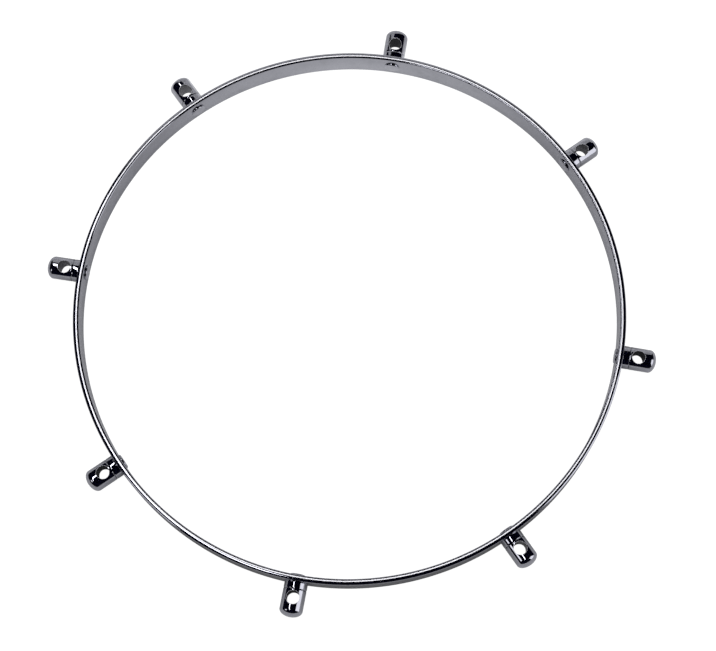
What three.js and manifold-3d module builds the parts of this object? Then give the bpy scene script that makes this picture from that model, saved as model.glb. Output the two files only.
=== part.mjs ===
import * as THREE from 'three';
import { mergeVertices } from 'three/addons/utils/BufferGeometryUtils.js';
import Module from 'manifold-3d';

// Drum hoop: a flat steel bar rolled into a ring, with eight round posts that take the tension rods.
// Millimetres and degrees. +Z is the hoop's own axis and z = 0 is the lower edge that it rests on.

// Band: the rolled and butt welded bar. Each edge has a narrow flat land between two eased corners,
// which are a quarter of an ellipse in section, wider on the outer side.
const bandInnerDiameter = 358;
const bandThickness = 4;
const bandHeight = 20;
const outerCornerWidth = 2.1;
const outerCornerDrop = 1.2;
const innerCornerWidth = 1.2;
const innerCornerDrop = 0.9;

// Lug places, counter-clockwise from +X. They were stepped off along the bar before it was rolled,
// so they are a little uneven, and the last gap, with the weld, is shorter.
const lugDegrees = [-145.5, -100.5, -55.5, -10.2, 35.1, 80.5, 125.7, 170.9];

// Post: a turned bar with a domed end, a cross hole for the rod and a spigot that goes through the band
const postDiameter = 15;
const postReach = 22.3;
const postDomeHeight = 4.6;
const postChamfer = 0.4;
const rodHoleDiameter = 8.6;
const rodHoleReach = 10.2;
const spigotDiameter = 7.6;
const spigotRecess = 0.6;
const boreWeb = 1.2;

// Collar: the ring that stands the post off the band
const collarLength = 4.2;
const collarChamfer = 0.4;

// Screw: put in from inside the hoop. Its low head is nearly flat, with a rounded rim and no recess,
// and its post is turned onto it with a bar through the cross hole.
const screwDiameter = 5;
const screwTipGap = 0.7;
const screwTipChamfer = 0.5;
const headDiameter = 10.2;
const headHeight = 1.3;
const headRimHeight = 0.5;
const headCrown = 0.1;

// Clearances: the gap where two pieces seat, the radial gap where one passes through another,
// and the length by which a cutting body runs past what it cuts
const seatGap = 0.3;
const passGap = 0.3;
const cutOverrun = 1;

// Facet counts
const bandSides = 112;
const bandCornerSteps = 3;
const postSides = 20;
const postDomeSteps = 3;
const rodHoleSides = 20;
const boreSides = 12;
const screwSides = 24;
const headRimSteps = 3;

// Sizes that follow from the ones above. A distance along a lug is measured from the hoop's axis.
const bandInnerRadius = bandInnerDiameter / 2;
const bandOuterRadius = bandInnerRadius + bandThickness;
const lugHeight = bandHeight / 2;
const collarStart = bandOuterRadius + seatGap;
const collarEnd = collarStart + collarLength;
const postStart = collarEnd + seatGap;
const postTip = bandOuterRadius + postReach;
const spigotStart = bandInnerRadius + spigotRecess;
const throughRadius = spigotDiameter / 2 + passGap;
const boreRadius = screwDiameter / 2 + passGap;
const boreEnd = bandOuterRadius + rodHoleReach - rodHoleDiameter / 2 - boreWeb;
const headSeat = bandInnerRadius - seatGap;

const wasm = await Module();
wasm.setup();

// A closed geometry as a solid: shared vertices merged, and the flat slivers at a pole left out
function solidOf(geometry) {
  const bare = geometry.clone();
  bare.deleteAttribute('normal');
  bare.deleteAttribute('uv');
  const merged = mergeVertices(bare);
  const corners = merged.index.array;
  const triangles = [];
  for (let i = 0; i < corners.length; i += 3) {
    const [a, b, c] = [corners[i], corners[i + 1], corners[i + 2]];
    if (a !== b && b !== c && c !== a) triangles.push(a, b, c);
  }
  return new wasm.Manifold(new wasm.Mesh({
    numProp: 3,
    vertProperties: new Float32Array(merged.attributes.position.array),
    triVerts: new Uint32Array(triangles),
  }));
}

// A solid as a geometry again, with flat shading
function geometryOf(solid) {
  const mesh = solid.getMesh();
  const indexed = new THREE.BufferGeometry();
  indexed.setAttribute('position', new THREE.BufferAttribute(mesh.vertProperties, 3));
  indexed.setIndex(new THREE.BufferAttribute(mesh.triVerts, 1));
  const geometry = indexed.toNonIndexed();
  geometry.computeVertexNormals();
  return geometry;
}

function cut(body, tools) {
  let solid = solidOf(body);
  for (const tool of tools) solid = solid.subtract(solidOf(tool));
  return geometryOf(solid);
}

// A body of revolution about the +X axis, from [distance along X, radius] pairs
function turned(outline, sides) {
  const points = outline.map(([along, radius]) => new THREE.Vector2(radius, along));
  return new THREE.LatheGeometry(points, sides).rotateZ(-Math.PI / 2);
}

// A round bar from one distance along X to another
function barAlongX(start, end, radius, sides) {
  const bar = new THREE.CylinderGeometry(radius, radius, end - start, sides).rotateZ(-Math.PI / 2);
  return bar.translate((start + end) / 2, 0, 0);
}

// The lug's own axis is +X; this turn and lift puts it in its place on the band
function lugPlace(index) {
  const angle = THREE.MathUtils.degToRad(lugDegrees[index]);
  return new THREE.Matrix4().makeRotationZ(angle).setPosition(0, 0, lugHeight);
}

// Band: a rectangle with eased corners, turned about the hoop's axis, with a hole for each spigot
function bandGeometry() {
  const points = [];
  for (let corner = 0; corner < 4; corner += 1) {
    const outside = corner === 0 || corner === 3;
    const upward = corner < 2 ? 1 : -1;
    const width = outside ? outerCornerWidth : innerCornerWidth;
    const drop = outside ? outerCornerDrop : innerCornerDrop;
    const radius = outside ? bandOuterRadius - width : bandInnerRadius + width;
    const height = bandHeight / 2 + upward * (bandHeight / 2 - drop);
    for (let step = 0; step <= bandCornerSteps; step += 1) {
      const angle = (corner + step / bandCornerSteps) * Math.PI / 2;
      points.push(new THREE.Vector2(
        radius + width * Math.cos(angle),
        height + drop * Math.sin(angle),
      ));
    }
  }
  points.push(points[0].clone());
  const ring = new THREE.LatheGeometry(points, bandSides).rotateX(Math.PI / 2);
  const holes = [];
  for (let index = 0; index < lugDegrees.length; index += 1) {
    const hole = barAlongX(
      bandInnerRadius - cutOverrun,
      bandOuterRadius + cutOverrun,
      throughRadius,
      boreSides,
    );
    holes.push(hole.applyMatrix4(lugPlace(index)));
  }
  return cut(ring, holes);
}

// Post: spigot, chamfered shoulder, plain body and a dome that is half an ellipse in section
function postGeometry() {
  const radius = postDiameter / 2;
  const spigotRadius = spigotDiameter / 2;
  const domeStart = postTip - postDomeHeight;
  const outline = [
    [boreEnd, 0],
    [boreEnd, boreRadius],
    [spigotStart, boreRadius],
    [spigotStart, spigotRadius],
    [postStart, spigotRadius],
    [postStart, radius - postChamfer],
    [postStart + postChamfer, radius],
    [domeStart, radius],
  ];
  for (let step = 1; step < postDomeSteps; step += 1) {
    const angle = (step / postDomeSteps) * Math.PI / 2;
    outline.push([domeStart + postDomeHeight * Math.sin(angle), radius * Math.cos(angle)]);
  }
  outline.push([postTip, 0]);
  const holeRadius = rodHoleDiameter / 2;
  const holeLength = postDiameter + 2 * cutOverrun;
  const hole = new THREE.CylinderGeometry(holeRadius, holeRadius, holeLength, rodHoleSides);
  hole.rotateX(Math.PI / 2).translate(bandOuterRadius + rodHoleReach, 0, 0);
  return cut(turned(outline, postSides), [hole]);
}

// Collar: a ring round the spigot, with both outer edges chamfered
function collarGeometry() {
  const radius = postDiameter / 2;
  const outline = [
    [collarStart, throughRadius],
    [collarStart, radius - collarChamfer],
    [collarStart + collarChamfer, radius],
    [collarEnd - collarChamfer, radius],
    [collarEnd, radius - collarChamfer],
    [collarEnd, throughRadius],
    [collarStart, throughRadius],
  ];
  return turned(outline, postSides);
}

// Screw: a nearly flat head whose rim is a quarter circle, and a plain shank in the post's bore
function screwGeometry() {
  const shankRadius = screwDiameter / 2;
  const headRadius = headDiameter / 2;
  const headTop = headSeat - headHeight;
  const rimTop = headSeat - headRimHeight;
  const rimRadius = headHeight - headCrown - headRimHeight;
  const tip = boreEnd - screwTipGap;
  const outline = [[headTop, 0]];
  for (let step = 0; step <= headRimSteps; step += 1) {
    const angle = (step / headRimSteps) * Math.PI / 2;
    const along = rimTop - rimRadius * Math.cos(angle);
    outline.push([along, headRadius - rimRadius + rimRadius * Math.sin(angle)]);
  }
  outline.push(
    [headSeat, headRadius],
    [headSeat, shankRadius],
    [tip - screwTipChamfer, shankRadius],
    [tip, shankRadius - screwTipChamfer],
    [tip, 0],
  );
  return turned(outline, screwSides);
}

function chromeMaterial(colour, roughness) {
  return new THREE.MeshStandardMaterial({ color: colour, metalness: 1, roughness });
}

function namedMesh(name, geometry, material) {
  const mesh = new THREE.Mesh(geometry, material);
  mesh.name = name;
  return mesh;
}

// One lug: its collar, post and screw along +X, turned and lifted into place
function lugGroup(index, shapes) {
  const lug = new THREE.Group();
  const number = index + 1;
  lug.add(namedMesh(`collar_${number}`, shapes.collar, chromeMaterial(0xc4c7cc, 0.08)));
  lug.add(namedMesh(`post_${number}`, shapes.post, chromeMaterial(0xc8cbd0, 0.06)));
  lug.add(namedMesh(`screw_${number}`, shapes.screw, chromeMaterial(0xbfc2c7, 0.12)));
  lug.applyMatrix4(lugPlace(index));
  return lug;
}

const hoop = new THREE.Group();
hoop.add(namedMesh('hoop_band', bandGeometry(), chromeMaterial(0xc6c8ce, 0.1)));
const lugShapes = {
  collar: collarGeometry(),
  post: postGeometry(),
  screw: screwGeometry(),
};
for (let index = 0; index < lugDegrees.length; index += 1) {
  hoop.add(lugGroup(index, lugShapes));
}

export default hoop;
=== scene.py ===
import math

import bmesh
import bpy
import numpy as np
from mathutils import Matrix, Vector


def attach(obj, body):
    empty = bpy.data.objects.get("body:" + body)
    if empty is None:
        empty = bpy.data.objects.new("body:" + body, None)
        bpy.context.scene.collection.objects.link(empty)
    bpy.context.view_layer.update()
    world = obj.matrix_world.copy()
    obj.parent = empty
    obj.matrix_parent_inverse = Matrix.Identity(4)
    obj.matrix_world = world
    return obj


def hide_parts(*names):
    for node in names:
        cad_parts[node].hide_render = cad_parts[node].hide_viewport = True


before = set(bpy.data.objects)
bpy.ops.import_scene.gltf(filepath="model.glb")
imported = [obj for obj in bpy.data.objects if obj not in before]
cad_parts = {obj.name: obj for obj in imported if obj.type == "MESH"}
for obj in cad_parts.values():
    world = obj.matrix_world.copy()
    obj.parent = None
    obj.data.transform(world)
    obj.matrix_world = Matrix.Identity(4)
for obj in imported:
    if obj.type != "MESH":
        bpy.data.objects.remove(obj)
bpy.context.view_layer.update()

# Camera: it looks down on the hoop from a little in front of it, at the photograph's own angle and
# distance. Metres and degrees in the hoop's frame.
camera_place = (0.02694, -0.30989, 1.08379)
camera_tilt = (15.606, 1.1186, 0.0)
camera_lens = 84.305
camera_film = 36.0
camera_nearest = 0.01
camera_farthest = 100.0

camera_data = bpy.data.cameras.new("photo_camera")
camera_data.lens = camera_lens
camera_data.sensor_width = camera_film
camera_data.sensor_fit = "HORIZONTAL"
camera_data.clip_start = camera_nearest
camera_data.clip_end = camera_farthest
camera = bpy.data.objects.new("photo_camera", camera_data)
camera.location = camera_place
camera.rotation_euler = [math.radians(angle) for angle in camera_tilt]
bpy.context.scene.collection.objects.link(camera)
bpy.context.scene.camera = camera
bpy.context.scene.view_settings.view_transform = "Standard"


# Studio, in metres: the hoop lies on pale paper that looks white to the camera and a softer white in
# the metal, and keeps the hoop's shadow. More of it sweeps up behind the hoop, and a hood of dark
# cloth hangs over the set, both out of the camera's sight.
floor_half_width = 4.0
floor_drop = 0.0001
paper_colour = (0.80, 0.80, 0.80, 1.0)
paper_fibre_colour = (0.776, 0.776, 0.776, 1.0)
paper_fibre_scale = 260.0
paper_fibre_detail = 3.0
paper_roughness = 0.9
paper_lift = 0.85
paper_white_to_camera = 1.15
paper_lift_in_metal = 0.56
paper_white_in_metal = 0.06
# A painted pool of light on the paper, shown only in the metal.
paper_painted_light_shares = ((0.00, 0.0), (0.36, 0.0), (0.70, 0.45), (0.80, 1.0), (0.90, 0.15), (1.00, 0.1))
paper_painted_light_start = 0.05
paper_painted_light_end = 0.22
paper_painted_light_white = 0.75
# Painted shade: a darker ring on the paper close outside the band, shown only in the metal.
paper_shade_start = 0.183
paper_shade_end = 0.208
paper_shade = 0.62
sweep_start = 0.42
sweep_bend = 0.26
sweep_bend_rows = 17
sweep_columns = 25
sweep_half_width = 0.62
sweep_height_left = 0.86
sweep_height_right = 0.40
cloth_colour = (0.008, 0.008, 0.028, 1.0)
cloth_roughness = 1.0
hood_radius = 2.6
hood_rise_share = 0.98
hood_rows = 14
hood_columns = 48


def mesh_object(name, points, faces):
    """A mesh object from an array of points and one or more arrays of corner indices, with its
    faces turned to point outwards."""
    mesh = bpy.data.meshes.new(name)
    corners = [face for array in faces for face in array.tolist()]
    mesh.from_pydata(points.tolist(), [], corners)
    shell = bmesh.new()
    shell.from_mesh(mesh)
    bmesh.ops.recalc_face_normals(shell, faces=shell.faces)
    shell.to_mesh(mesh)
    shell.free()
    mesh.shade_smooth()
    piece = bpy.data.objects.new(name, mesh)
    bpy.context.scene.collection.objects.link(piece)
    return piece


def point_numbers(rows, columns, first=0):
    """The numbers of a grid's points, counted row by row from the first."""
    return first + np.arange(rows * columns).reshape(rows, columns)


def grid_faces(numbers, close_rows=False, close_columns=False):
    """The four corner indices of every cell of a grid of point numbers, row by row. A closed
    direction joins its last line of points to its first."""
    if close_rows:
        numbers = np.vstack([numbers, numbers[:1]])
    if close_columns:
        numbers = np.hstack([numbers, numbers[:, :1]])
    corners = [numbers[:-1, :-1], numbers[:-1, 1:], numbers[1:, 1:], numbers[1:, :-1]]
    return np.stack(corners, axis=-1).reshape(-1, 4)


def paper_floor():
    """A flat square sheet, a hair below the hoop."""
    corners = np.array([[-1.0, -1.0, 0.0], [1.0, -1.0, 0.0], [1.0, 1.0, 0.0], [-1.0, 1.0, 0.0]])
    points = floor_half_width * corners - np.array([0.0, 0.0, floor_drop])
    return mesh_object("paper_floor", points, [np.arange(len(corners))[None]])


def paper_sweep():
    """The paper behind the hoop: a quarter circle up from the floor, then upright, with a top edge
    that falls in a straight line from left to right."""
    across = np.linspace(-sweep_half_width, sweep_half_width, sweep_columns)
    turn = np.linspace(0.0, math.pi / 2, sweep_bend_rows)
    depth = sweep_start + sweep_bend * np.sin(turn)
    height = sweep_bend * (1.0 - np.cos(turn))
    share = (across + sweep_half_width) / (2 * sweep_half_width)
    top = sweep_height_left + (sweep_height_right - sweep_height_left) * share
    bend = np.stack([
        np.broadcast_to(across, (sweep_bend_rows, sweep_columns)),
        np.broadcast_to(depth[:, None], (sweep_bend_rows, sweep_columns)),
        np.broadcast_to(height[:, None], (sweep_bend_rows, sweep_columns)),
    ], axis=-1)
    edge = np.stack([across, np.full(sweep_columns, sweep_start + sweep_bend), top], axis=-1)[None]
    points = np.concatenate([bend, edge]).reshape(-1, 3)
    numbers = point_numbers(sweep_bend_rows + 1, sweep_columns)
    return mesh_object("paper_sweep", points, [grid_faces(numbers)])


def cloth_hood():
    """Half a ball over the set, its rim on the paper, seen only by reflections and by the lamps."""
    turn = np.linspace(0.0, 2 * math.pi, hood_columns, endpoint=False)
    rise = np.linspace(0.0, hood_rise_share * math.pi / 2, hood_rows)
    points = hood_radius * np.stack([
        np.cos(rise)[:, None] * np.cos(turn),
        np.cos(rise)[:, None] * np.sin(turn),
        np.broadcast_to(np.sin(rise)[:, None], (hood_rows, hood_columns)),
    ], axis=-1).reshape(-1, 3)
    numbers = point_numbers(hood_rows, hood_columns)
    return mesh_object("dark_cloth", points, [grid_faces(numbers, close_columns=True), numbers[-1:]])


def value_node(tree, operation, first, second=None, third=None):
    """A Math node's value, its inputs sockets or plain numbers."""
    node = tree.nodes.new("ShaderNodeMath")
    node.operation = operation
    for slot, source in enumerate((first, second, third)):
        if source is None:
            continue
        if isinstance(source, (int, float)):
            node.inputs[slot].default_value = source
        else:
            tree.links.new(source, node.inputs[slot])
    return node.outputs["Value"]


def range_node(tree, source, low, high, start=0.0, end=1.0):
    """A Map Range node's result: start where the source is at low, end where it is at high, in
    proportion between the two and held beyond them."""
    between = tree.nodes.new("ShaderNodeMapRange")
    between.inputs["From Min"].default_value = low
    between.inputs["From Max"].default_value = high
    between.inputs["To Min"].default_value = start
    between.inputs["To Max"].default_value = end
    tree.links.new(source, between.inputs["Value"])
    return between.outputs["Result"]


def ray_masks(tree):
    """Light Path's masks, one for what the camera sees and one for what shows in metal or glass."""
    path = tree.nodes.new("ShaderNodeLightPath")
    in_metal = value_node(
        tree, "MAXIMUM", path.outputs["Is Glossy Ray"], path.outputs["Is Transmission Ray"],
    )
    return path.outputs["Is Camera Ray"], in_metal


def paper_glow(tree, place):
    """The share and the strength of the paper's white glow. It is nearly all glow to the camera. In
    the metal it is a softer white, with a painted pool of light where the far inner wall throws
    its light back on the paper, and a painted shade in a ring close outside the band."""
    seen, in_metal = ray_masks(tree)
    apart = tree.nodes.new("ShaderNodeSeparateXYZ")
    tree.links.new(place, apart.inputs["Vector"])
    pool = tree.nodes.new("ShaderNodeValToRGB")
    ramp = pool.color_ramp
    ramp.interpolation = "EASE"
    while len(ramp.elements) < len(paper_painted_light_shares):
        ramp.elements.new(0.5)
    for element, (position, level) in zip(ramp.elements, paper_painted_light_shares):
        element.position = position
        element.color = (level, level, level, 1.0)
    along = range_node(tree, apart.outputs["Y"], paper_painted_light_start, paper_painted_light_end)
    tree.links.new(along, pool.inputs["Fac"])
    metal_white = value_node(
        tree, "MULTIPLY_ADD", pool.outputs["Color"], paper_painted_light_white, paper_white_in_metal,
    )
    metal_strength = value_node(tree, "MULTIPLY", in_metal, metal_white)
    strength = value_node(tree, "MULTIPLY_ADD", seen, paper_white_to_camera, metal_strength)
    reach = tree.nodes.new("ShaderNodeVectorMath")
    reach.operation = "LENGTH"
    tree.links.new(place, reach.inputs[0])
    outside = value_node(tree, "GREATER_THAN", reach.outputs["Value"], paper_shade_start)
    shade = range_node(
        tree, reach.outputs["Value"], paper_shade_start, paper_shade_end, paper_shade, 0.0,
    )
    shaded = value_node(tree, "MULTIPLY", shade, outside)
    metal_lift = value_node(
        tree, "MULTIPLY_ADD", shaded, 1.0 - paper_lift_in_metal, paper_lift_in_metal,
    )
    metal_share = value_node(tree, "MULTIPLY", in_metal, metal_lift)
    share = value_node(tree, "MULTIPLY_ADD", seen, paper_lift, metal_share)
    return share, strength


def paper_material():
    """Pale paper with a faint fibre, mixed with its white glow."""
    material = bpy.data.materials.new("studio_paper")
    material.use_nodes = True
    tree = material.node_tree
    nodes, links = tree.nodes, tree.links
    shader = nodes["Principled BSDF"]
    shader.inputs["Roughness"].default_value = paper_roughness
    shader.inputs["Specular IOR Level"].default_value = 0.0
    place = nodes.new("ShaderNodeTexCoord")
    fibre = nodes.new("ShaderNodeTexNoise")
    fibre.inputs["Scale"].default_value = paper_fibre_scale
    fibre.inputs["Detail"].default_value = paper_fibre_detail
    tone = nodes.new("ShaderNodeMixRGB")
    tone.inputs["Color1"].default_value = paper_colour
    tone.inputs["Color2"].default_value = paper_fibre_colour
    links.new(place.outputs["Object"], fibre.inputs["Vector"])
    links.new(fibre.outputs["Fac"], tone.inputs["Fac"])
    links.new(tone.outputs["Color"], shader.inputs["Base Color"])
    share, strength = paper_glow(tree, place.outputs["Object"])
    glow = nodes.new("ShaderNodeEmission")
    links.new(strength, glow.inputs["Strength"])
    mix = nodes.new("ShaderNodeMixShader")
    links.new(share, mix.inputs["Fac"])
    links.new(shader.outputs["BSDF"], mix.inputs[1])
    links.new(glow.outputs["Emission"], mix.inputs[2])
    links.new(mix.outputs["Shader"], nodes["Material Output"].inputs["Surface"])
    return material


def cloth_material():
    """Plain dark cloth with no shine."""
    material = bpy.data.materials.new("dark_cloth")
    material.use_nodes = True
    shader = material.node_tree.nodes["Principled BSDF"]
    shader.inputs["Base Color"].default_value = cloth_colour
    shader.inputs["Roughness"].default_value = cloth_roughness
    shader.inputs["Specular IOR Level"].default_value = 0.0
    return material


paper = paper_material()
floor = paper_floor()
sweep = paper_sweep()
hood = cloth_hood()
cloth = cloth_material()
for sheet, finish in ((floor, paper), (sweep, paper), (hood, cloth)):
    sheet.data.materials.append(finish)
sweep.visible_camera = False
sweep.visible_shadow = False
hood.visible_camera = False

world = bpy.data.worlds.new("studio_room")
bpy.context.scene.world = world
world.use_nodes = True
room = world.node_tree.nodes["Background"]
room.inputs["Color"].default_value = (1.0, 1.0, 1.0, 1.0)
room_seen, room_in_metal = ray_masks(world.node_tree)
room_white = value_node(world.node_tree, "MAXIMUM", room_seen, room_in_metal)
world.node_tree.links.new(room_white, room.inputs["Strength"])


# Lamps: a large soft one at the right, a small one low at the left, a long strip above the left side,
# and a broad fill above, which the metal doesn't show. Each row gives the name, the place, the point
# it faces, the width, the height, the power, and whether the metal shows it.
lamp_colour = (0.955, 0.955, 1.0)
lamps = [
    ("softbox_right", (1.040, -0.330, 0.490), (0.09, 0.00, 0.44), 0.74, 0.92, 2.8, True),
    ("softbox_left", (-0.960, -0.620, 0.650), (-0.05, 0.00, 0.26), 0.36, 0.34, 0.55, True),
    ("strip_above", (-0.515, 0.000, 1.790), (-0.13, 0.05, 0.00), 1.66, 0.15, 4.6, True),
    ("fill_above", (0.000, -0.030, 1.700), (0.00, -0.03, 0.00), 0.90, 0.90, 27.0, False),
]
for name, place, target, width, height, power, shown in lamps:
    lamp_data = bpy.data.lights.new(name, "AREA")
    lamp_data.shape = "RECTANGLE"
    lamp_data.size = width
    lamp_data.size_y = height
    lamp_data.energy = power
    lamp_data.color = lamp_colour
    lamp = bpy.data.objects.new(name, lamp_data)
    lamp.location = place
    facing = Vector(target) - Vector(place)
    lamp.rotation_euler = facing.to_track_quat("-Z", "Y").to_euler()
    lamp.visible_camera = False
    lamp.visible_glossy = shown
    bpy.context.scene.collection.objects.link(lamp)


# Hoop band: one flat steel bar, rolled into a ring, butt welded, ground and plated. Its edges keep a
# narrow satin land between two polished corners, each a quarter of an ellipse in section; the land's
# near-white colour is partly that satin and partly a painted highlight. It has a plain hole at each
# lug for the post's spigot. Millimetres, made metres at the end.
mm = 0.001
band_inner_radius = 179.0
band_thickness = 4.0
band_height = 20.0
outer_corner_width = 2.1
outer_corner_drop = 1.2
inner_corner_width = 1.2
inner_corner_drop = 0.9
lug_degrees = (-145.5, -100.5, -55.5, -10.2, 35.1, 80.5, 125.7, 170.9)
spigot_hole_radius = 4.1
cells_between_lugs = 90
wall_cells = 12
edge_steps = 12
land_cells = 3
window_reach = 4
window_ring_shares = (1 / 3, 2 / 3, 1.0)
outer_finish = 0
land_finish = 1
inner_finish = 2
sharp_angle = 40.0
band_outer_radius = band_inner_radius + band_thickness
lug_height = band_height / 2
lug_count = len(lug_degrees)


def in_lug_place(points, lug):
    """Points given along a lug's own axis as metres in the hoop's frame: turned to the lug's
    azimuth about the hoop's axis, and lifted to the middle of the band."""
    angle = math.radians(lug_degrees[lug])
    x, y, z = points[..., 0], points[..., 1], points[..., 2]
    return mm * np.stack([
        x * math.cos(angle) - y * math.sin(angle),
        x * math.sin(angle) + y * math.cos(angle),
        z + lug_height,
    ], axis=-1)


def window_loop(first_row, last_row, first_column, last_column):
    """Grid rows and columns along the edge of a rectangle of cells, once round."""
    rows = np.arange(first_row, last_row)
    columns = np.arange(first_column, last_column)
    loop_rows = np.concatenate([
        np.full(len(columns), first_row), rows, np.full(len(columns), last_row), rows[::-1] + 1,
    ])
    loop_columns = np.concatenate([
        columns, np.full(len(rows), last_column), columns[::-1] + 1, np.full(len(rows), first_column),
    ])
    return loop_rows, loop_columns


def band_section():
    """The bar's section as radius, height and finish: up the outer wall, a quarter ellipse, across
    the top land, a quarter ellipse, down the inner wall, and back along the lower edge."""
    turn = np.linspace(0.0, math.pi / 2, edge_steps + 1)[:-1]
    land_outer = band_outer_radius - outer_corner_width
    land_inner = band_inner_radius + inner_corner_width
    outer_wall = np.linspace(outer_corner_drop, band_height - outer_corner_drop, wall_cells + 1)
    inner_wall = np.linspace(band_height - inner_corner_drop, inner_corner_drop, wall_cells + 1)
    land = np.linspace(land_outer, land_inner, land_cells + 1)
    radius = np.concatenate([
        np.full(wall_cells, band_outer_radius),
        land_outer + outer_corner_width * np.cos(turn),
        land[:-1],
        land_inner - inner_corner_width * np.sin(turn),
        np.full(wall_cells, band_inner_radius),
        land_inner - inner_corner_width * np.cos(turn),
        land[::-1][:-1],
        land_outer + outer_corner_width * np.sin(turn),
    ])
    height = np.concatenate([
        outer_wall[:-1],
        band_height + outer_corner_drop * (np.sin(turn) - 1.0),
        np.full(land_cells, band_height),
        band_height + inner_corner_drop * (np.cos(turn) - 1.0),
        inner_wall[:-1],
        inner_corner_drop * (1.0 - np.sin(turn)),
        np.zeros(land_cells),
        outer_corner_drop * (1.0 - np.cos(turn)),
    ])
    edge_finish = (outer_finish, land_finish, outer_finish)
    finish = np.repeat(
        (outer_finish, *edge_finish, inner_finish, *edge_finish),
        (wall_cells, edge_steps, land_cells, edge_steps, wall_cells, edge_steps, land_cells, edge_steps),
    )
    return radius, height, finish


def spigot_hole_rings(wall_radius, side, rise, shares):
    """Rings of points on one wall, between a window's edge and the spigot's hole. Each is a share
    of the way from the edge, given as distances beside and above the lug's axis, to the hole's
    point at the same bearing, and keeps the wall's radius from the hoop's axis."""
    bearing = np.arctan2(rise, side)
    share = np.array(shares)[:, None]
    across = side + (spigot_hole_radius * np.cos(bearing) - side) * share
    along = rise + (spigot_hole_radius * np.sin(bearing) - rise) * share
    return np.stack([np.sqrt(wall_radius ** 2 - across ** 2), across, along], axis=-1)


def hoop_band():
    """The section turned once round the hoop's axis, with the cells at each lug left out and a
    round hole through both walls set in their place. Rings of points that follow the wall lead
    from the window's edge to the hole. Each cell takes its section's finish."""
    radius, height, section_finish = band_section()
    rows = len(radius)
    starts = np.array(lug_degrees)[:, None]
    ends = np.append(lug_degrees[1:], lug_degrees[0] + 360.0)[:, None]
    steps = np.arange(cells_between_lugs) / cells_between_lugs
    turn = np.radians(starts + (ends - starts) * steps).reshape(-1)
    columns = len(turn)
    section_points = np.stack([
        radius * np.cos(turn)[:, None],
        radius * np.sin(turn)[:, None],
        np.broadcast_to(height, (columns, rows)),
    ], axis=-1)
    numbers = point_numbers(columns, rows)
    faces = grid_faces(numbers, close_rows=True, close_columns=True).reshape(columns, rows, 4)
    kept = np.ones((columns, rows), bool)
    outer_rows = np.arange(wall_cells // 2 - window_reach, wall_cells // 2 + window_reach)
    inner_start = wall_cells + edge_steps + land_cells + edge_steps
    points = [mm * section_points.reshape(-1, 3)]
    count = columns * rows
    hole_faces = []
    for lug in range(lug_count):
        centre = lug * cells_between_lugs
        cells = np.arange(centre - window_reach, centre + window_reach) % columns
        kept[np.ix_(cells, outer_rows)] = False
        kept[np.ix_(cells, inner_start + outer_rows)] = False
        loop_rows, loop_columns = window_loop(
            outer_rows[0], outer_rows[-1] + 1, centre - window_reach, centre + window_reach,
        )
        loop_columns = loop_columns % columns
        inner_rows = inner_start + wall_cells - loop_rows
        offset = turn[loop_columns] - math.radians(lug_degrees[lug])
        outer_rings = spigot_hole_rings(
            band_outer_radius, band_outer_radius * np.sin(offset), height[loop_rows] - lug_height,
            window_ring_shares,
        )
        inner_rings = spigot_hole_rings(
            band_inner_radius, band_inner_radius * np.sin(offset), height[inner_rows] - lug_height,
            window_ring_shares[::-1],
        )
        rings = np.concatenate([outer_rings, inner_rings])
        points.append(in_lug_place(rings, lug).reshape(-1, 3))
        chain = np.vstack([
            numbers[loop_columns, loop_rows],
            point_numbers(len(rings), len(loop_rows), count),
            numbers[loop_columns, inner_rows],
        ])
        hole_faces.append(grid_faces(chain, close_columns=True))
        count += len(rings) * len(loop_rows)
    band = mesh_object("chromed_band", np.concatenate(points), [faces[kept]] + hole_faces)
    inner_strips = len(window_ring_shares)
    strip_finish = np.repeat((outer_finish, inner_finish), (inner_strips + 1, inner_strips))
    window_finish = np.tile(np.repeat(strip_finish, len(loop_rows)), lug_count)
    wall_finish = np.broadcast_to(section_finish, (columns, rows))[kept]
    finish = np.concatenate([wall_finish, window_finish])
    band.data.polygons.foreach_set("material_index", finish.astype(np.int32))
    return band


band = hoop_band()
band.data.set_sharp_from_angle(angle=math.radians(sharp_angle))

# Plate marks: how many, wide and deep the pits are, and how much the clouds dull and the grain rises
pits_per_cloud = 3.0
pit_rim = 0.10
pit_bottom = 0.05
unpitted_share = 0.62
pit_depth = 0.5
cloud_dullness = 0.6
grain_height = 0.15


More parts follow.
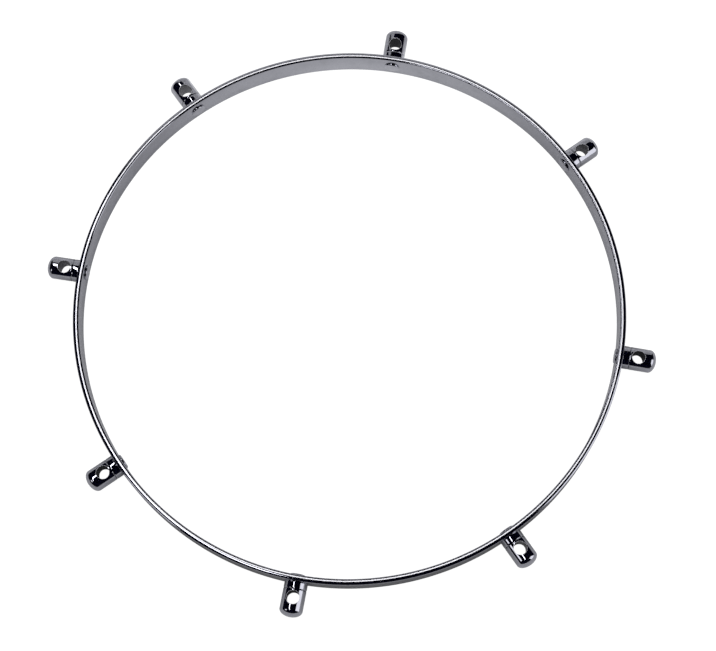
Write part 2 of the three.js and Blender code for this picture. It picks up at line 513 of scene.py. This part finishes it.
def plated_steel_group():
    """What every plated surface here shares: a faint cloudiness in colour, smears that dull the
    shine, a slow ripple left by polishing, and sparse small pits."""
    group = bpy.data.node_groups.new("plated_steel", "ShaderNodeTree")
    socket = group.interface.new_socket
    socket("Place", in_out="INPUT", socket_type="NodeSocketVector")
    for name in ("Bright", "Dull"):
        socket(name, in_out="INPUT", socket_type="NodeSocketColor")
    for name in ("Smoothest", "Roughest", "Cloud Scale", "Ripple Scale", "Grain Scale", "Grain", "Pits"):
        socket(name, in_out="INPUT", socket_type="NodeSocketFloat")
    socket("Colour", in_out="OUTPUT", socket_type="NodeSocketColor")
    for name in ("Roughness", "Height"):
        socket(name, in_out="OUTPUT", socket_type="NodeSocketFloat")
    nodes, links = group.nodes, group.links
    given = nodes.new("NodeGroupInput").outputs
    result = nodes.new("NodeGroupOutput").inputs

    def noise(scale, detail, roughness):
        texture = nodes.new("ShaderNodeTexNoise")
        texture.inputs["Detail"].default_value = detail
        texture.inputs["Roughness"].default_value = roughness
        links.new(given["Place"], texture.inputs["Vector"])
        links.new(given[scale], texture.inputs["Scale"])
        return texture.outputs["Fac"]

    def math_node(operation, first, second=None, third=None):
        return value_node(group, operation, first, second, third)

    cloud = range_node(group, noise("Cloud Scale", detail=4.0, roughness=0.6), low=0.35, high=0.7)
    ripple = noise("Ripple Scale", detail=1.0, roughness=0.4)
    grain = noise("Grain Scale", detail=3.0, roughness=0.7)
    pit_cells = nodes.new("ShaderNodeTexVoronoi")
    links.new(given["Place"], pit_cells.inputs["Vector"])
    links.new(math_node("MULTIPLY", given["Cloud Scale"], pits_per_cloud), pit_cells.inputs["Scale"])
    pit_near = range_node(group, pit_cells.outputs["Distance"], low=pit_rim, high=pit_bottom)
    pit_chosen = math_node("GREATER_THAN", pit_cells.outputs["Color"], unpitted_share)
    pit = math_node("MULTIPLY", math_node("MULTIPLY", pit_near, pit_chosen), given["Pits"])

    grain_dull = math_node("MULTIPLY", range_node(group, grain, low=0.3, high=0.7), given["Grain"])
    cloud_dull = math_node("MULTIPLY", cloud, cloud_dullness)
    dull_share = math_node("MAXIMUM", math_node("MAXIMUM", cloud_dull, grain_dull), pit)
    colour = nodes.new("ShaderNodeMixRGB")
    links.new(dull_share, colour.inputs["Fac"])
    links.new(given["Bright"], colour.inputs["Color1"])
    links.new(given["Dull"], colour.inputs["Color2"])
    links.new(colour.outputs["Color"], result["Colour"])
    rougher = math_node("SUBTRACT", given["Roughest"], given["Smoothest"])
    links.new(math_node("MULTIPLY_ADD", rougher, dull_share, given["Smoothest"]), result["Roughness"])
    pit_floor = math_node("MULTIPLY", pit, -pit_depth)
    grain_share = math_node("MULTIPLY", grain, given["Grain"])
    fine = math_node("MULTIPLY_ADD", grain_share, grain_height, pit_floor)
    links.new(math_node("ADD", ripple, fine), result["Height"])
    return group


plated_steel = plated_steel_group()


def chrome(name, bright, dull, rough, cloud_scale, ripple_scale, grain_scale, grain, pits, bump,
           metallic=1.0, specular=0.5):
    """A plated finish whose colour, roughness and bump come from the plated steel group on Object
    coordinates, each finish with its own values: two colours, the least and the greatest
    roughness, the scales and amounts of the marks, and the strength and depth of the bump."""
    material = bpy.data.materials.new(name)
    material.use_nodes = True
    tree = material.node_tree
    shader = tree.nodes["Principled BSDF"]
    shader.inputs["Metallic"].default_value = metallic
    shader.inputs["Specular IOR Level"].default_value = specular
    place = tree.nodes.new("ShaderNodeTexCoord")
    plate = tree.nodes.new("ShaderNodeGroup")
    plate.node_tree = plated_steel
    tree.links.new(place.outputs["Object"], plate.inputs["Place"])
    for socket, value in (
        ("Bright", bright), ("Dull", dull), ("Smoothest", rough[0]), ("Roughest", rough[1]),
        ("Cloud Scale", cloud_scale), ("Ripple Scale", ripple_scale), ("Grain Scale", grain_scale),
        ("Grain", grain), ("Pits", pits),
    ):
        plate.inputs[socket].default_value = value
    tree.links.new(plate.outputs["Colour"], shader.inputs["Base Color"])
    tree.links.new(plate.outputs["Roughness"], shader.inputs["Roughness"])
    relief = tree.nodes.new("ShaderNodeBump")
    relief.inputs["Strength"].default_value = bump[0]
    relief.inputs["Distance"].default_value = bump[1]
    tree.links.new(plate.outputs["Height"], relief.inputs["Height"])
    tree.links.new(relief.outputs["Normal"], shader.inputs["Normal"])
    return material


band_chrome = chrome(
    "band_chrome", bright=(0.55, 0.555, 0.605, 1.0), dull=(0.49, 0.495, 0.54, 1.0), rough=(0.04, 0.10),
    cloud_scale=90.0, ripple_scale=30.0, grain_scale=700.0, grain=0.15, pits=0.4, bump=(0.02, 0.00002),
)
# The land's near-white colour is partly its ground satin and partly a painted highlight.
band_land_painted_highlight = chrome(
    "band_land_painted_highlight", bright=(0.98, 0.98, 0.99, 1.0), dull=(0.93, 0.93, 0.95, 1.0), rough=(0.55, 0.75),
    cloud_scale=160.0, ripple_scale=60.0, grain_scale=1400.0, grain=0.5, pits=0.4,
    bump=(0.10, 0.00002), metallic=0.04,
)
band_inner_chrome = chrome(
    "band_inner_chrome", bright=(0.53, 0.535, 0.58, 1.0), dull=(0.37, 0.375, 0.41, 1.0),
    rough=(0.08, 0.24), cloud_scale=90.0, ripple_scale=40.0, grain_scale=900.0, grain=0.5, pits=1.0,
    bump=(0.10, 0.00003),
)
for finish in (band_chrome, band_land_painted_highlight, band_inner_chrome):
    band.data.materials.append(finish)
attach(band, "root")
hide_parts("hoop_band")


# Collars: a short turned ring between the band and each post, with rounded edges. Its seat is
# curved to the band. It is clamped by the post's screw, and its joint with the post is a fine groove.
collar_gap = 0.02
collar_length = 4.52
collar_bore_radius = 4.1
collar_radius = 7.5
collar_edge_length = 0.8
collar_edge_drop = 0.25
collar_seat_ring_radii = (5.2, 6.4)
collar_face_ring_radius = 5.6
collar_sides = 128
collar_edge_steps = 8
collar_seat = band_outer_radius + collar_gap
collar_end = collar_seat + collar_length


def turned(along, radius, angle):
    """An outline turned round the lug's axis: a row of points for each of its distances along the
    axis, at its radius, with a column for each angle from upright."""
    return np.stack([
        np.broadcast_to(along[:, None], (len(along), len(angle))),
        radius[:, None] * np.sin(angle),
        radius[:, None] * np.cos(angle),
    ], axis=-1)


def collar_ring(lug):
    """A ring section turned round the lug's axis, both its outer edges a quarter of a long ellipse.
    Where it meets the band, each point's distance from the hoop's axis follows the outer wall."""
    turn = np.linspace(0.0, math.pi / 2, collar_edge_steps + 1)
    rise = 1.0 - np.sin(turn)
    fall = 1.0 - np.cos(turn)
    from_seat = np.concatenate([
        np.zeros(1 + len(collar_seat_ring_radii)),
        collar_edge_length * fall,
        collar_length - collar_edge_length * rise,
        [collar_length, collar_length],
    ])
    radius = np.concatenate([
        [collar_bore_radius, *collar_seat_ring_radii],
        collar_radius - collar_edge_drop * rise,
        collar_radius - collar_edge_drop * fall,
        [collar_face_ring_radius, collar_bore_radius],
    ])
    angle = np.linspace(0.0, 2 * math.pi, collar_sides, endpoint=False)
    points = turned(collar_seat + from_seat, radius, angle)
    curve = collar_seat - np.sqrt(collar_seat ** 2 - points[..., 1] ** 2)
    seat_share = 1.0 - from_seat / collar_length
    points[..., 0] -= curve * seat_share[:, None]
    numbers = point_numbers(len(radius), collar_sides)
    faces = grid_faces(numbers, close_rows=True, close_columns=True)
    return mesh_object(f"post_collar_{lug + 1}", in_lug_place(points, lug).reshape(-1, 3), [faces])


lug_chrome = chrome(
    "lug_chrome", bright=(0.59, 0.595, 0.64, 1.0), dull=(0.49, 0.495, 0.535, 1.0), rough=(0.03, 0.10),
    cloud_scale=240.0, ripple_scale=120.0, grain_scale=1600.0, grain=0.25, pits=0.6,
    bump=(0.2, 0.00003),
)
for lug in range(lug_count):
    collar = collar_ring(lug)
    collar.data.set_sharp_from_angle(angle=math.radians(sharp_angle))
    collar.data.materials.append(lug_chrome)
    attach(collar, "root")
    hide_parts(f"collar_{lug + 1}")


# Posts: turned steel bar with a domed end, a deburred cross hole for the tension rod, a shoulder
# that bears on the collar, and a spigot with a blind bore that goes through the band. Each cross
# hole has a duller plate darkened with painted shade, deeper in four of them, and a satin lip
# whose pale colour is partly a painted highlight.
joint_gap = 0.1
post_reach = 22.3
post_radius = 7.5
post_edge_length = 0.8
post_edge_drop = 0.25
dome_height = 4.6
rod_hole_reach = 10.2
rod_hole_radius = 4.3
rod_hole_edge = 0.2
spigot_recess = 0.6
spigot_radius = 3.8
bore_radius = 2.8
bore_web = 1.2
rod_window_reach = 4.9
rod_window_angle = 40.8
rod_window_cells = 24
flank_cells = 56
plain_cells = 4
post_edge_steps = 8
dome_steps = 18
flat_ring_shares = (0.25, 0.5, 0.75, 1.0)
lip_ring_shares = (0.2, 0.4, 0.6, 0.8, 1.0)
hole_ring_shares = (0.75, 0.5, 0.25)
post_finish = 0
hole_finish = 1
lip_finish = 2
posts_with_lighter_hole_shade = (3, 5, 7, 8)
post_start = collar_end + joint_gap
dome_start = band_outer_radius + post_reach - dome_height
rod_hole_centre = band_outer_radius + rod_hole_reach
rod_window_start = rod_hole_centre - rod_window_reach
rod_window_end = rod_hole_centre + rod_window_reach
spigot_start = band_inner_radius + spigot_recess
bore_end = rod_hole_centre - rod_hole_radius - bore_web


def post_outline():
    """The turned outline as distance along the lug and radius, from the bottom of the bore round
    the spigot and shoulder to the start of the rod hole's window, and on to the dome, which is
    half an ellipse. Also the row at which the window starts."""
    turn = np.linspace(0.0, math.pi / 2, post_edge_steps + 1)
    before_along = np.concatenate([
        [bore_end, spigot_start, spigot_start, post_start],
        post_start + post_edge_length * (1.0 - np.cos(turn)),
    ])
    before_radius = np.concatenate([
        [bore_radius, bore_radius, spigot_radius, spigot_radius],
        post_radius - post_edge_drop * (1.0 - np.sin(turn)),
    ])
    window = np.linspace(rod_window_start, rod_window_end, rod_window_cells + 1)
    plain = np.linspace(rod_window_end, dome_start, plain_cells + 1)[1:]
    rise = np.linspace(0.0, math.pi / 2, dome_steps + 1)[1:-1]
    along = np.concatenate([before_along, window, plain, dome_start + dome_height * np.sin(rise)])
    radius = np.concatenate([
        before_radius, np.full(len(window) + len(plain), post_radius), post_radius * np.cos(rise),
    ])
    return along, radius, len(before_along)


def rod_hole_rings(side_along, side_across):
    """Rings of points from a window's edge, along the post's round top, over a small curved lip
    and halfway down the hole. Each ring's height is what the round bar has above its own place,
    and the lip is a curve drawn from the top to the wall towards their sharp corner."""
    round_hole = np.arctan2(side_across, side_along)
    flat = np.array(flat_ring_shares)[:, None]
    lip_radius = rod_hole_radius + rod_hole_edge
    along = side_along + (lip_radius * np.cos(round_hole) - side_along) * flat
    across = side_across + (lip_radius * np.sin(round_hole) - side_across) * flat
    top = np.stack([along, across, np.sqrt(post_radius ** 2 - across ** 2)], axis=-1)
    corner_along = rod_hole_radius * np.cos(round_hole)
    corner_across = rod_hole_radius * np.sin(round_hole)
    corner_height = np.sqrt(post_radius ** 2 - corner_across ** 2)
    corner = np.stack([corner_along, corner_across, corner_height], axis=-1)
    below = corner - np.array([0.0, 0.0, rod_hole_edge])
    share = np.array(lip_ring_shares)[:, None, None]
    lip = (1 - share) ** 2 * top[-1] + 2 * share * (1 - share) * corner + share ** 2 * below
    depths = np.array([[1.0, 1.0, depth] for depth in hole_ring_shares])
    return np.concatenate([top, lip, below * depths[:, None]])


def pole_fans(rows, columns, first_pole):
    """The triangles that close a turned grid's ends: its first ring of points joined to one pole
    on the axis, and its last ring to the pole numbered next."""
    numbers = point_numbers(rows, columns)
    return [
        np.stack([ring, np.roll(ring, -1), np.full(columns, pole)], axis=-1)
        for ring, pole in ((numbers[0], first_pole), (numbers[-1], first_pole + 1))
    ]


def cross_drilled_post(lug):
    """The outline turned round the lug's axis, with a window left open above and below and the
    rod hole's rings joined between the two."""
    along, radius, window_row = post_outline()
    half = math.radians(rod_window_angle)
    angle = np.concatenate([
        np.linspace(-half, half, rod_window_cells, endpoint=False),
        np.linspace(half, math.pi - half, flank_cells, endpoint=False),
        np.linspace(math.pi - half, math.pi + half, rod_window_cells, endpoint=False),
        np.linspace(math.pi + half, 2 * math.pi - half, flank_cells, endpoint=False),
    ])
    rows, columns = len(along), len(angle)
    points = turned(along, radius, angle).reshape(-1, 3)
    numbers = point_numbers(rows, columns)
    faces = grid_faces(numbers, close_columns=True).reshape(rows - 1, columns, 4)
    kept = np.ones((rows - 1, columns), bool)
    window_end = window_row + rod_window_cells
    far_side = rod_window_cells + flank_cells
    kept[window_row:window_end, :rod_window_cells] = False
    kept[window_row:window_end, far_side:far_side + rod_window_cells] = False
    loop_rows, loop_columns = window_loop(window_row, window_end, 0, rod_window_cells)
    upper_loop = numbers[loop_rows, loop_columns]
    lower_loop = numbers[loop_rows, far_side + rod_window_cells - loop_columns]
    edge = points[upper_loop]
    upper = rod_hole_rings(edge[:, 0] - rod_hole_centre, edge[:, 1])
    waist = upper[-1:] * np.array([1.0, 1.0, 0.0])
    lower = upper[::-1] * np.array([1.0, 1.0, -1.0])
    rings = np.concatenate([upper, waist, lower]) + np.array([rod_hole_centre, 0.0, 0.0])
    size = len(upper_loop)
    chain = np.vstack([upper_loop, point_numbers(len(rings), size, len(points)), lower_loop])
    poles = np.array([[bore_end, 0.0, 0.0], [dome_start + dome_height, 0.0, 0.0]])
    fans = pole_fans(rows, columns, len(points) + len(rings) * size)
    everything = np.concatenate([points, rings.reshape(-1, 3), poles])
    post = mesh_object(
        f"cross_drilled_post_{lug + 1}",
        in_lug_place(everything, lug),
        [faces[kept], grid_faces(chain, close_columns=True), *fans],
    )
    flats = len(flat_ring_shares)
    lips = len(lip_ring_shares)
    deeps = len(chain) - 1 - 2 * (flats + lips)
    strip_finish = np.repeat(
        (post_finish, lip_finish, hole_finish, lip_finish, post_finish), (flats, lips, deeps, lips, flats),
    )
    finish = np.full(len(post.data.polygons), post_finish)
    skin = kept.sum()
    finish[skin:skin + len(strip_finish) * size] = np.repeat(strip_finish, size)
    post.data.polygons.foreach_set("material_index", finish.astype(np.int32))
    return post


# Painted shade: the cross holes' duller plate is darkened to stand for the shade inside them, more deeply
# in four of them.
rod_hole_deep_painted_shade = chrome(
    "rod_hole_deep_painted_shade", bright=(0.040, 0.040, 0.046, 1.0), dull=(0.018, 0.018, 0.020, 1.0),
    rough=(0.22, 0.42), cloud_scale=400.0, ripple_scale=300.0, grain_scale=2400.0, grain=0.8, pits=1.0,
    bump=(0.35, 0.00004), metallic=0.3, specular=0.0,
)
rod_hole_plate_and_painted_shade = chrome(
    "rod_hole_plate_and_painted_shade", bright=(0.24, 0.24, 0.26, 1.0), dull=(0.12, 0.12, 0.13, 1.0),
    rough=(0.22, 0.42), cloud_scale=400.0, ripple_scale=300.0, grain_scale=2400.0, grain=0.8, pits=1.0,
    bump=(0.35, 0.00004),
)
# The deburred lip's pale colour is partly its satin finish and partly a painted highlight.
rod_hole_lip_painted_highlight = chrome(
    "rod_hole_lip_painted_highlight", bright=(0.72, 0.72, 0.75, 1.0), dull=(0.55, 0.55, 0.58, 1.0), rough=(0.25, 0.45),
    cloud_scale=400.0, ripple_scale=200.0, grain_scale=2400.0, grain=0.4, pits=0.4,
    bump=(0.10, 0.00002), metallic=0.5,
)
for lug in range(lug_count):
    post = cross_drilled_post(lug)
    post.data.set_sharp_from_angle(angle=math.radians(sharp_angle))
    post.data.materials.append(lug_chrome)
    # The posts not listed get the deeper painted shade in their cross holes.
    post.data.materials.append(rod_hole_plate_and_painted_shade if lug + 1 in posts_with_lighter_hole_shade else rod_hole_deep_painted_shade)
    post.data.materials.append(rod_hole_lip_painted_highlight)
    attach(post, "root")
    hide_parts(f"post_{lug + 1}")


# Screws: plated steel, put in from inside the hoop. The low head is nearly flat, with a rounded rim
# and no recess. It bears on the inner wall, and the post is turned tight on the shank.
head_gap = 0.08
head_radius = 5.1
head_height = 1.3
head_rim_height = 0.2
head_crown = 0.1
head_hollow = 0.02
head_bevel_height = 0.08
head_bevel_width = 0.06
head_rim_steps = 10
head_face_steps = 8
shank_radius = 2.5
shank_tip_gap = 0.7
shank_tip_chamfer = 0.5
screw_sides = 96
screw_sharp_angle = 32.0
head_seat = band_inner_radius - head_gap
shank_tip = bore_end - shank_tip_gap


def plain_headed_screw(lug):
    """An outline turned round the lug's axis: the shank from its tip to the seat, the head's side,
    a quarter circle over the rim, and a face that rises to the middle as a cosine."""
    rim = head_height - head_crown - head_rim_height
    turn = np.linspace(0.0, math.pi / 2, head_rim_steps + 1)
    share = np.linspace(1.0, 0.0, head_face_steps + 1)[1:-1]
    face_radius = head_radius - rim
    along = np.concatenate([
        [shank_tip, shank_tip - shank_tip_chamfer, head_seat + head_hollow],
        [head_seat, head_seat - head_bevel_height],
        head_seat - head_rim_height - rim * np.sin(turn),
        head_seat - head_height + head_crown * (1.0 - np.cos(share * math.pi)) / 2,
    ])
    radius = np.concatenate([
        [shank_radius - shank_tip_chamfer, shank_radius, shank_radius],
        [head_radius - head_bevel_width, head_radius],
        face_radius + rim * np.cos(turn),
        face_radius * share,
    ])
    angle = np.linspace(0.0, 2 * math.pi, screw_sides, endpoint=False)
    points = turned(along, radius, angle).reshape(-1, 3)
    poles = np.array([[shank_tip, 0.0, 0.0], [head_seat - head_height, 0.0, 0.0]])
    side_faces = grid_faces(point_numbers(len(along), screw_sides), close_columns=True)
    return mesh_object(
        f"plain_headed_screw_{lug + 1}",
        in_lug_place(np.concatenate([points, poles]), lug),
        [side_faces, *pole_fans(len(along), screw_sides, len(points))],
    )


screw_chrome = chrome(
    "screw_chrome", bright=(0.58, 0.585, 0.63, 1.0), dull=(0.45, 0.45, 0.49, 1.0), rough=(0.03, 0.12),
    cloud_scale=300.0, ripple_scale=160.0, grain_scale=2400.0, grain=0.3, pits=0.8,
    bump=(0.1, 0.00002),
)
for lug in range(lug_count):
    screw = plain_headed_screw(lug)
    screw.data.set_sharp_from_angle(angle=math.radians(screw_sharp_angle))
    screw.data.materials.append(screw_chrome)
    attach(screw, "root")
    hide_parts(f"screw_{lug + 1}")
